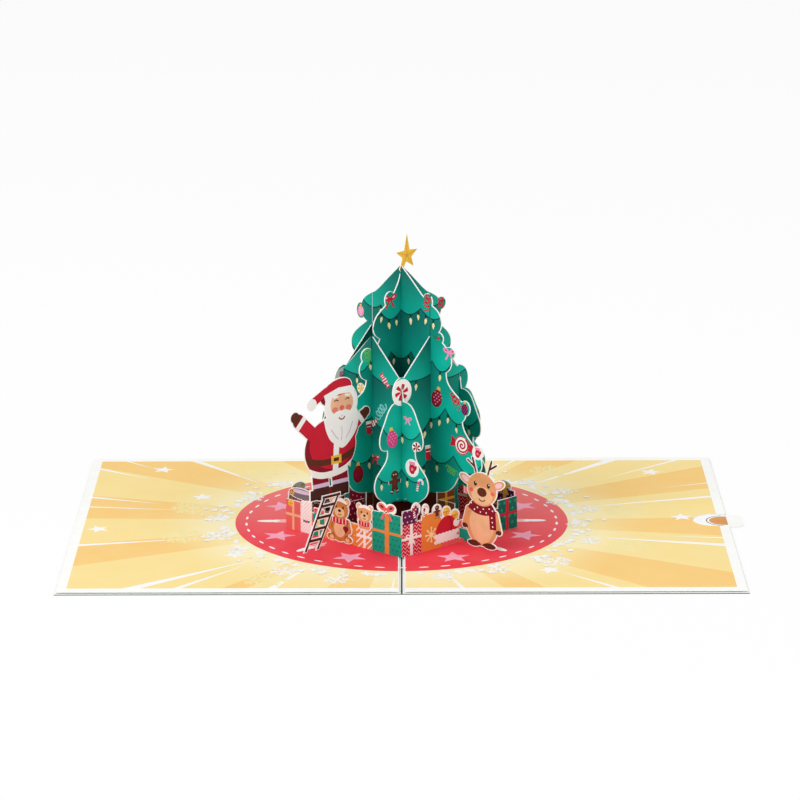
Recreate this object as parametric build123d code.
from build123d import *
import os
from math import atan2, cos, degrees, radians, sin

# Pop-up greeting card, lying open, in millimetres.
# Origin: on the table under the fold, half way along it. +X crosses the fold to the right
# leaf, +Y runs along the fold to the back edge, +Z is up.

# ---- Cover, liners and the adhesive tapes between them ----
leaf_width = 127.0
leaf_depth = 178.0
cover_thickness = 0.4
crease_width = 0.6
crease_depth = 0.15
liner_thickness = 0.25
liner_inset = 0.5
liner_fold_gap = 1.0
tape_width = 6.0
tape_inset = 3.0
spine_tape_start = 1.6
spine_tape_width = 2.6

# ---- Message card in the pocket under the right liner ----
message_length = 105.0
message_depth = 148.0
message_thickness = 0.3
message_edge_inset = 1.0
pocket_side_clearance = 0.5
pocket_end_clearance = 0.3
stop_tape_width = 4.0
pull_tab_depth = 15.0
pull_tab_reach = 6.4
pull_tab_radius = 3.0
notch_width = 16.0
notch_reach = 14.0

# ---- Tree: two families of upright sheets, halved into each other ----
sheet_thickness = 0.4
half_angle = 41.0
pitch = 14.65
tree_centre_y = -9.0
tree_height = 105.0
tree_half_width = 40.2
inner_height = 80.0
inner_half_width = 28.2
halving_clearance = 0.05
halving_end_clearance = 0.1
trunk_half_width = 17.9
web_height = 12.0
web_end_clearance = 0.3
tab_set_back = 0.1
foot_start = 7.0
foot_length = 6.0
foot_flap = 3.0
foot_clearance = 0.1
foot_bed_clearance = 0.05

# ---- Star on the tip ----
star_shift = 2.8
star_rise = 3.4
star_size = 5.6
star_tip = 8.4
star_waist = 2.4
star_neck = 1.6

# ---- Ring of presents round the tree ----
ring_pitches = 2
wall_strip_height = 10.0
slit_low = 3.0
slit_high = 7.0
slit_clearance = 0.1

# ---- Figures glued to the sheets ----
figure_thickness = 0.4
ladder_height = 22.0
ladder_foot_reach = 20.6
ladder_top_reach = 10.5
ladder_foot_span = 5.9
ladder_top_span = 6.8
ladder_rail = 1.7
ladder_rungs = 5
father_reach = 6.7
father_hand = 2.2
father_hand_clearance = 1.5
reindeer_reach = 11.4
outrigger_reach = 14.0

# ---- Levels and directions worked out from the sizes above ----
tape_thickness = sheet_thickness + foot_bed_clearance
liner_bottom = cover_thickness + tape_thickness
liner_top = liner_bottom + liner_thickness
ring = ring_pitches * pitch
skew = sin(radians(2 * half_angle))
crossing_width = sheet_thickness * (1 + abs(cos(radians(2 * half_angle)))) / skew
halving_width = crossing_width + 2 * halving_clearance
wall_half = sheet_thickness / 2 / skew
direction_a = Vector(cos(radians(half_angle)), sin(radians(half_angle)), 0)
direction_b = Vector(cos(radians(half_angle)), -sin(radians(half_angle)), 0)
tree_centre = Vector(0, tree_centre_y, 0)
tall = 2 * tree_height

# ---- Outlines, as shares of half width and height, from the tip down one side ----
full_tiers = [
    [(0, 1), (0.197, 0.93), (0.363, 0.877), (0.45, 0.858), (0.505, 0.816), (0.433, 0.767)],
    [(0.433, 0.767), (0.56, 0.728), (0.624, 0.692), (0.624, 0.663), (0.562, 0.634)],
    [(0.562, 0.634), (0.697, 0.556), (0.786, 0.521), (0.803, 0.5), (0.761, 0.463)],
    [(0.761, 0.463), (0.816, 0.417), (0.93, 0.374), (1, 0.33), (0.98, 0.291)],
    [(0.98, 0.291), (0.86, 0.25), (0.714, 0.255)],
    [(0.714, 0.255), (0.6, 0.196), (0.44, 0.179)],
]
narrow_tiers = [
    [(0, 1), (0.072, 0.915), (0.201, 0.86), (0.303, 0.83), (0.351, 0.79), (0.27, 0.742)],
    [(0.27, 0.742), (0.44, 0.686), (0.522, 0.65), (0.515, 0.622), (0.44, 0.599)],
    [(0.44, 0.599), (0.55, 0.543), (0.7, 0.515), (0.74, 0.49), (0.69, 0.455)],
    [(0.69, 0.455), (0.78, 0.4), (0.9, 0.36), (0.96, 0.325), (0.94, 0.29)],
    [(0.94, 0.29), (0.83, 0.25), (0.69, 0.25)],
    [(0.69, 0.25), (0.6, 0.196), (0.44, 0.179)],
]
inner_tiers = [
    [(0, 1), (0.27, 0.9), (0.52, 0.805)],
    [(0.52, 0.805), (0.56, 0.71)],
    [(0.56, 0.71), (0.68, 0.7), (0.82, 0.62), (0.905, 0.545), (0.88, 0.495), (0.773, 0.483)],
    [(0.773, 0.483), (0.82, 0.42), (0.96, 0.365), (1, 0.32), (0.97, 0.275), (0.9, 0.25)],
    [(0.9, 0.25), (0.75, 0.222), (0.6, 0.235)],
    [(0.6, 0.235), (0.4, 0.21), (0.2, 0.225)],
]

# ---- Ornaments centred on an edge: side, tier, share along it, half width, half height ----
ornaments_a = [(-1, 0, 0.42, 2.6, 3.2), (-1, 1, 0.4, 3.0, 3.0), (1, 0, 0.78, 2.6, 2.6)]
ornaments_b = [
    (1, 0, 0.52, 2.4, 3.2),
    (1, 1, 0.1, 2.4, 2.4),
    (1, 1, 0.5, 2.8, 2.4),
    (1, 2, 0.72, 2.6, 3.0),
    (1, 3, 0.62, 2.6, 2.6),
    (-1, 0, 0.86, 2.2, 3.2),
]
corner_ornament = (4.4, 5.6)
corner_ornament_height = 0.755

# ---- Presents: share along the wall, width and top of boxes; share, level and half sizes of rounds ----
boxes_front_left = [
    (-0.87, 7.6, 13.0), (-0.64, 5.4, 14.6), (-0.42, 5.6, 12.2), (-0.23, 5.4, 11.0), (0.745, 14.4, 17.0),
]
rounds_front_left = [
    (-0.73, 16.2, 6.6, 2.3), (0.67, 18.9, 2.6, 2.1), (0.82, 18.9, 2.6, 2.1), (0.36, 11.4, 3.4, 2.2),
]
boxes_front_right = [
    (-0.83, 9.6, 13.9), (-0.865, 7.4, 19.0), (-0.5, 9.8, 15.6), (0.33, 8.0, 12.4), (0.56, 6.0, 10.8),
    (0.83, 10.0, 13.8),
]
rounds_front_right = [
    (-0.76, 18.6, 2.3, 2.7), (-0.6, 17.4, 1.9, 2.5), (-0.4, 16.2, 2.4, 2.4), (-0.24, 14.6, 2.4, 2.4),
    (-0.09, 12.6, 2.4, 2.4), (-0.24, 9.2, 5.6, 4.4),
]
boxes_back_right = [(-0.8, 9.0, 14.6), (-0.05, 9.0, 16.2), (0.36, 11.0, 12.2), (0.8, 10.0, 15.6)]
rounds_back_right = [(-0.43, 11.0, 4.6, 4.6), (-0.05, 17.4, 3.6, 2.0), (0.8, 16.8, 3.4, 2.0)]
boxes_back_left = [(-0.8, 10.0, 15.0), (-0.42, 8.0, 12.4), (0.35, 9.0, 16.6), (0.8, 9.6, 13.4)]
rounds_back_left = [(-0.8, 16.4, 3.4, 2.0), (-0.02, 11.0, 4.4, 4.4), (0.35, 17.8, 3.4, 2.0)]
web_boxes_a = [(-0.78, 7.6, 16.6), (0.78, 7.0, 15.0)]
web_boxes_b = [(0.78, 8.0, 16.0), (-0.78, 7.2, 16.8)]


def lattice_point(along_a, along_b):
    """Point on the table at oblique distances along the two sheet directions."""
    return tree_centre + direction_a * along_a + direction_b * along_b


def plane_a(offset=0.0):
    """Plane of a sheet that runs along direction A, moved sideways along direction B."""
    return Plane(lattice_point(0, offset), x_dir=direction_a, z_dir=direction_a.cross(Vector(0, 0, 1)))


def plane_b(offset=0.0):
    """Plane of a sheet that runs along direction B, moved sideways along direction A."""
    return Plane(lattice_point(offset, 0), x_dir=direction_b, z_dir=direction_b.cross(Vector(0, 0, 1)))


def rectangle(left, bottom, right, top):
    """Rectangle from its lower left to its upper right corner."""
    return Pos((left + right) / 2, (bottom + top) / 2) * Rectangle(right - left, top - bottom)


def oval(across, up, half_width, half_height, turn=0.0):
    """Ellipse round a centre, turned in its plane."""
    return Pos(across, up) * Rot(0, 0, turn) * Ellipse(half_width, half_height)


def bar(start, end, width):
    """Round-ended bar between two points."""
    run = Vector(*end) - Vector(*start)
    middle = (Vector(*start) + Vector(*end)) / 2
    return Pos(middle.X, middle.Y) * Rot(0, 0, degrees(atan2(run.Y, run.X))) * SlotCenterToCenter(
        run.length, width
    )


def tier_edge(tier, half_width, height, side):
    """Curve of one tier's edge, on the right with side 1 or on the left with -1."""
    points = [(side * share * half_width, level * height) for share, level in tier]
    return Spline(*points) if len(points) > 2 else Line(*points)


def half_outline(tiers, half_width, height, side):
    """Face between the tree's axis and its scalloped edge on one side."""
    edges = [tier_edge(tier, half_width, height, side) for tier in tiers]
    bottom = edges[-1] @ 1
    edges.append(Polyline((bottom.X, bottom.Y), (0, bottom.Y), (0, height)))
    return make_face(edges)


def outline_span(outline, across):
    """Lowest and highest level of an outline where a sheet crosses it."""
    cut = outline & rectangle(across - halving_width / 2, -tall, across + halving_width / 2, tall)
    box = cut.bounding_box()
    return box.min.Y, box.max.Y


def halve(outline_a, across_a, outline_b, across_b):
    """Level at which two crossing sheets meet: half way up the height that they share."""
    low_a, high_a = outline_span(outline_a, across_a)
    low_b, high_b = outline_span(outline_b, across_b)
    return (max(low_a, low_b) + min(high_a, high_b)) / 2


def slot_from_below(across, level):
    """Halving slot of an A sheet."""
    return rectangle(across - halving_width / 2, -tall, across + halving_width / 2, level + halving_end_clearance)


def slot_from_above(across, level):
    """Halving slot of a B sheet."""
    return rectangle(across - halving_width / 2, level - halving_end_clearance, across + halving_width / 2, tall)


def star():
    """Five-pointed star with a long top, on a neck that joins it to the tree's tip."""
    centre = Vector(star_shift, tree_height + star_rise)
    points = []
    for corner in range(10):
        reach = star_waist if corner % 2 else (star_tip if corner == 0 else star_size)
        turn = radians(90 - 36 * corner)
        points.append((centre.X + reach * cos(turn), centre.Y + reach * sin(turn)))
    neck = bar((0, tree_height - star_neck), (centre.X, centre.Y), star_neck)
    return Polygon(*points, align=None) + neck


def edge_ornaments(places, left_tiers, right_tiers):
    """Ornament outlines, each centred on a main sheet's edge."""
    ovals = []
    for side, tier, along, wide, high in places:
        tiers = right_tiers if side > 0 else left_tiers
        centre = tier_edge(tiers[tier], tree_half_width, tree_height, side) @ along
        ovals.append(oval(centre.X, centre.Y, wide, high))
    return ovals


def lower_web(boxes, right_reach):
    """Trunk, web out to the ring with presents on it, and tabs that pass through the ring."""
    inner = ring - wall_half - web_end_clearance
    web = rectangle(-trunk_half_width, liner_top, trunk_half_width, 0.2 * tree_height)
    web += rectangle(-inner, liner_top, inner, web_height)
    for share, width, top in boxes:
        web += rectangle(share * ring - width / 2, liner_top, share * ring + width / 2, top)
    tab = (slit_low + slit_clearance, slit_high - slit_clearance)
    end = ring + wall_half - tab_set_back
    web += rectangle(-end, tab[0], end + right_reach, tab[1])
    return web


def main_outline(left_tiers, right_tiers, ornaments, boxes, right_reach=0.0):
    """Whole outline of a main sheet, from the liner to the tree's tip."""
    outline = half_outline(left_tiers, tree_half_width, tree_height, -1)
    outline += half_outline(right_tiers, tree_half_width, tree_height, 1)
    for ornament in edge_ornaments(ornaments, left_tiers, right_tiers):
        outline += ornament
    return outline + lower_web(boxes, right_reach)


def inner_outline():
    """Outline of one of the four lower sheets round the main pair."""
    outline = half_outline(inner_tiers, inner_half_width, inner_height, -1)
    return outline + half_outline(inner_tiers, inner_half_width, inner_height, 1)


def cornered(outline):
    """A lower sheet's outline with the ornaments that crown its two corners of the lattice."""
    for side in (-1, 1):
        outline += oval(side * pitch, corner_ornament_height * inner_height, *corner_ornament)
    return outline


def upright(plane, outline):
    """Sheet centred on its plane."""
    return plane.location * extrude(outline, sheet_thickness / 2, both=True)


def glued(plane, outline, layer=0):
    """Figure glued on a sheet's front face, or on the figure below it."""
    lift = sheet_thickness / 2 + layer * figure_thickness
    return plane.location * Pos(0, 0, lift) * extrude(outline, figure_thickness)


def feet(plane):
    """Two feet of a main sheet, folded flat and glued under the liners."""
    low = cover_thickness + foot_bed_clearance
    high = low + sheet_thickness
    parts = []
    for start in (foot_start, -foot_start - foot_length):
        leg = upright(plane, rectangle(start, low, start + foot_length, liner_top))
        turned = 1 if plane.x_dir.Y * start > 0 else -1
        flap = Pos(start + foot_length / 2, (low + high) / 2, turned * foot_flap / 2) * Box(
            foot_length, high - low, foot_flap
        )
        parts += [leg, plane.location * flap]
    return parts


def foot_slits(plane):
    """What the liners lose for a main sheet's two feet."""
    width = sheet_thickness + 2 * foot_clearance
    slits = []
    for start in (foot_start, -foot_start - foot_length):
        hole = rectangle(start - foot_clearance, liner_bottom - tape_thickness,
                         start + foot_length + foot_clearance, liner_top + tape_thickness)
        slits.append(plane.location * extrude(hole, width / 2, both=True))
    return slits


def wall(plane, corners, boxes, rounds):
    """One side of the ring of presents, mitred to its neighbours, with a slit for the web's tab."""
    outline = rectangle(-ring - pitch, liner_top, ring + pitch, wall_strip_height)
    for share, width, top in boxes:
        outline += rectangle(share * ring - width / 2, liner_top, share * ring + width / 2, top)
    for share, level, wide, high in rounds:
        outline += oval(share * ring, level, wide, high)
    half_slit = crossing_width / 2 + slit_clearance
    outline -= rectangle(-half_slit, slit_low, half_slit, slit_high)
    plan = Polygon(*[(point.X, point.Y) for point in corners], align=None)
    return upright(plane, outline) & extrude(plan, tall, both=True)


def wall_corners(side, along_b):
    """Plan of a wall: the outer run, then the inner one, in oblique distances."""
    outer, inner = ring + wall_half, ring - wall_half
    runs = [(side * outer, -outer), (side * outer, outer), (side * inner, inner), (side * inner, -inner)]
    return [lattice_point(a, b) if along_b else lattice_point(b, a) for a, b in runs]


def father_christmas():
    """Father Christmas on the ladder's top step, one arm to the tree and one held out."""
    x, z = -(ring + father_reach), ladder_height
    shape = oval(x, z + 18, 12.8, 11.8)
    shape += oval(x + 5.4, z + 34.2, 8.2, 8.4)
    shape += oval(x + 6.4, z + 26, 8, 9.4)
    shape += oval(x + 3, z + 39.2, 8.2, 4.8, 18)
    shape += bar((x - 2, z + 40), (x - 8, z + 37), 4)
    shape += oval(x - 8.8, z + 36.2, 2.4, 2.4)
    shape += bar((x - 8, z + 24), (x - 15.4, z + 31), 6)
    shape += oval(x - 17, z + 32.6, 2.4, 2.4)
    hand = -(pitch + father_hand_clearance + father_hand)
    shape += bar((x + 8, z + 22), (hand - 1.4, z + 28), 5)
    shape += oval(hand, z + 29, father_hand, father_hand)
    shape += bar((x - 5, z + 8), (x - 4.6, z + 2), 8.4)
    shape += bar((x + 4.4, z + 8), (x + 5, z + 2), 8.4)
    shape += rectangle(x - 10.2, z - 1.6, x - 0.6, z + 3)
    shape += rectangle(x - 0.6, z - 1.6, x + 9.2, z + 3)
    return shape


def stepladder():
    """Leaning ladder: two rails, evenly spaced rungs and a top step."""
    foot = -(ring + ladder_foot_reach)
    top = -(ring + ladder_top_reach)
    height = ladder_height - liner_top
    shape = rectangle(top - ladder_rail / 2, ladder_height - ladder_rail, top + ladder_top_span + ladder_rail,
                      ladder_height)
    for start, end in ((foot, top), (foot + ladder_foot_span, top + ladder_top_span)):
        shape += Polygon((start, liner_top), (start + ladder_rail, liner_top), (end + ladder_rail, ladder_height),
                         (end, ladder_height), align=None)
    for rung in range(1, ladder_rungs):
        share = rung / ladder_rungs
        left = foot + (top - foot) * share
        right = left + ladder_foot_span + (ladder_top_span - ladder_foot_span) * share + ladder_rail / 2
        level = liner_top + height * share
        shape += rectangle(left + ladder_rail / 2, level - ladder_rail / 2, right, level + ladder_rail / 2)
    return shape


def large_bear():
    """Sitting bear on the front left wall."""
    x = -1.4
    shape = oval(x, liner_top + 5.6, 5.2, 5.6) + oval(x, 14.2, 4.7, 4.5)
    for side in (-1, 1):
        shape += oval(x + side * 3.6, 17.6, 1.7, 1.7) + oval(x + side * 4, liner_top + 1.6, 2.7, 1.6)
        shape += bar((x + side * 4, 9.6), (x + side * 4.9, 6.2), 2.8)
    return shape


def small_bear():
    """Head and shoulders of a small bear above a present on the front left wall."""
    x = 11.2
    shape = oval(x, 14.6, 3.9, 3.6) + oval(x, 10.6, 3.4, 3.2)
    for side in (-1, 1):
        shape += oval(x + side * 2.9, 17.3, 1.4, 1.4)
    return shape & rectangle(-ring, 8.4, ring, tall)


def reindeer():
    """Standing reindeer, facing front, beyond the front right wall."""
    x = ring + reindeer_reach
    shape = oval(x, liner_top + 10.4, 8.2, 9.8) + oval(x, 24.4, 7.4, 6.6)
    for side in (-1, 1):
        shape += oval(x + side * 8, 27.2, 3.4, 1.9, side * 24)
        shape += bar((x + side * 2.6, 29.6), (x + side * 4.6, 36), 1.5)
        shape += bar((x + side * 3.6, 32.6), (x + side * 7, 34.8), 1.4)
        shape += oval(x + side * 3.8, liner_top + 1.5, 3.4, 1.5)
        shape += bar((x + side * 6.6, 15.6), (x + side * 8.4, 9), 3.2)
    return shape


def liner(side):
    """Printed sheet inside one leaf, 1 right or -1 left."""
    length = leaf_width - liner_inset - liner_fold_gap
    middle = side * (liner_fold_gap + length / 2)
    sheet = Pos(middle, 0, (liner_bottom + liner_top) / 2) * Box(
        length, leaf_depth - 2 * liner_inset, liner_thickness
    )
    for plane in (plane_a(), plane_b()):
        for slit in foot_slits(plane):
            sheet -= slit
    return sheet


def tape(left, front, right, back):
    """Strip of double-sided tape between the cover and a liner."""
    return Pos((left + right) / 2, (front + back) / 2, cover_thickness + tape_thickness / 2) * Box(
        right - left, back - front, tape_thickness
    )


pieces = {}

# Cover: one sheet with the crease pressed into its inside.
cover = Pos(0, 0, cover_thickness / 2) * Box(2 * leaf_width, leaf_depth, cover_thickness)
cover -= Pos(0, 0, cover_thickness - crease_depth / 2) * Box(crease_width, leaf_depth, crease_depth)
pieces["cover"] = cover

# Liners, the right one with a round-ended thumb notch over the pull tab.
pieces["left_liner"] = liner(-1)
notch_radius = notch_width / 2
notch_start = leaf_width - notch_reach
notch = rectangle(notch_start + notch_radius, -notch_radius, leaf_width, notch_radius)
notch += Pos(notch_start + notch_radius, 0) * Circle(notch_radius)
pieces["right_liner"] = liner(1) - Pos(0, 0, liner_bottom) * extrude(notch, liner_thickness)

# Message card with its pull tab, lying midway in the pocket.
message_right = leaf_width - message_edge_inset
message_left = message_right - message_length
tab_corner = message_right + pull_tab_reach
message = rectangle(message_left, -message_depth / 2, message_right, message_depth / 2)
message += Pos(message_right, 0) * RectangleRounded(2 * pull_tab_reach, pull_tab_depth, pull_tab_radius)
message_bottom = cover_thickness + (tape_thickness - message_thickness) / 2
pieces["message_card"] = Pos(0, 0, message_bottom) * extrude(message, message_thickness)

# Tapes. On the right they leave a pocket that is open at the outer edge.
tape_edge = leaf_width - tape_inset
tape_end = leaf_depth / 2 - tape_inset
spine_tape_end = spine_tape_start + spine_tape_width
pieces["left_front_tape"] = tape(-tape_edge, -tape_end, -spine_tape_end - tape_inset, -tape_end + tape_width)
pieces["left_back_tape"] = tape(-tape_edge, tape_end - tape_width, -spine_tape_end - tape_inset, tape_end)
pieces["left_edge_tape"] = tape(
    -tape_edge, -tape_end + tape_width, -tape_edge + tape_width, tape_end - tape_width
)
pieces["left_spine_tape"] = tape(-spine_tape_end, -tape_end, -spine_tape_start, tape_end)
pocket_side = message_depth / 2 + pocket_side_clearance
pieces["right_front_tape"] = tape(spine_tape_end + tape_inset, -pocket_side - tape_width, tape_edge, -pocket_side)
pieces["right_back_tape"] = tape(spine_tape_end + tape_inset, pocket_side, tape_edge, pocket_side + tape_width)
pieces["right_spine_tape"] = tape(spine_tape_start, -tape_end, spine_tape_end, tape_end)
stop_edge = message_left - pocket_end_clearance
pieces["pocket_stop_tape"] = tape(stop_edge - stop_tape_width, -pocket_side, stop_edge, pocket_side)

# Tree sheets: outlines first, then the halving slots where they cross.
main_a = main_outline(narrow_tiers, full_tiers, ornaments_a, web_boxes_a) + star()
main_b = main_outline(full_tiers, full_tiers, ornaments_b, web_boxes_b, outrigger_reach)
inner_a = cornered(inner_outline())
inner_b = inner_outline()
sheets_a = {-pitch: inner_a, 0: main_a, pitch: inner_a}
sheets_b = {-pitch: inner_b, 0: main_b, pitch: inner_b}
names_a = {-pitch: "tree_back_left", 0: "tree_main_a", pitch: "tree_front_right"}
names_b = {-pitch: "tree_front_left", 0: "tree_main_b", pitch: "tree_back_right"}
slotted_a = dict(sheets_a)
slotted_b = dict(sheets_b)
for offset_a in sheets_a:
    for offset_b in sheets_b:
        level = halve(sheets_a[offset_a], offset_b, sheets_b[offset_b], offset_a)
        slotted_a[offset_a] -= slot_from_below(offset_b, level)
        slotted_b[offset_b] -= slot_from_above(offset_a, level)
for offset, outline in slotted_a.items():
    pieces[names_a[offset]] = upright(plane_a(offset), outline)
for offset, outline in slotted_b.items():
    pieces[names_b[offset]] = upright(plane_b(offset), outline)
for name, plane in (("tree_main_a", plane_a()), ("tree_main_b", plane_b())):
    for foot in feet(plane):
        pieces[name] += foot

# Ring of presents: four walls standing on the liners.
pieces["gifts_front_left"] = wall(plane_b(-ring), wall_corners(-1, True), boxes_front_left, rounds_front_left)
pieces["gifts_back_right"] = wall(plane_b(ring), wall_corners(1, True), boxes_back_right, rounds_back_right)
pieces["gifts_front_right"] = wall(plane_a(ring), wall_corners(1, False), boxes_front_right, rounds_front_right)
pieces["gifts_back_left"] = wall(plane_a(-ring), wall_corners(-1, False), boxes_back_left, rounds_back_left)

# Figures.
pieces["father_christmas"] = glued(plane_a(), father_christmas())
pieces["stepladder"] = glued(plane_a(), stepladder(), 1)
pieces["large_bear"] = glued(plane_b(-ring), large_bear())
pieces["small_bear"] = glued(plane_b(-ring), small_bear())
pieces["reindeer"] = glued(plane_b(), reindeer())

os.makedirs("parts", exist_ok=True)
for name, piece in pieces.items():
    export_step(piece, f"parts/{name}.step")
